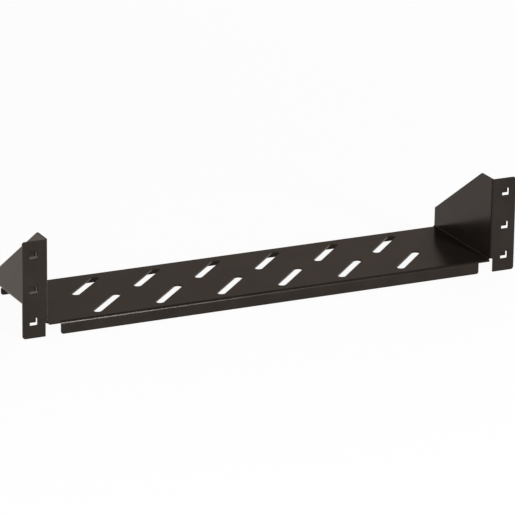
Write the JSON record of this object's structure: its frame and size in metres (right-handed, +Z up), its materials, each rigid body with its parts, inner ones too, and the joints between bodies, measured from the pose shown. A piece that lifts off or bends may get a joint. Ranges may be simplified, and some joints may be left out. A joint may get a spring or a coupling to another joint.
{
  "type": "cantilever rack shelf",
  "caption": "Shallow folded-steel rack shelf with slanted slots, sloping side walls and front ears with lanced hooks for a rack's square holes.",
  "frame": {"origin": "under the middle of the shelf's width and depth, level with the bottom edges of the ears and the front lip", "axes": "+Z up, +X along the width, +Y towards the back of the rack; the ears' front faces are at the -Y end"},
  "size_m": [0.4826, 0.11, 0.0881],
  "materials": {
    "black_powder_coat": "satin"
  },
  "bodies": {
    "root": {"shelf": "black_powder_coat"}
  },
  "joints": []
}
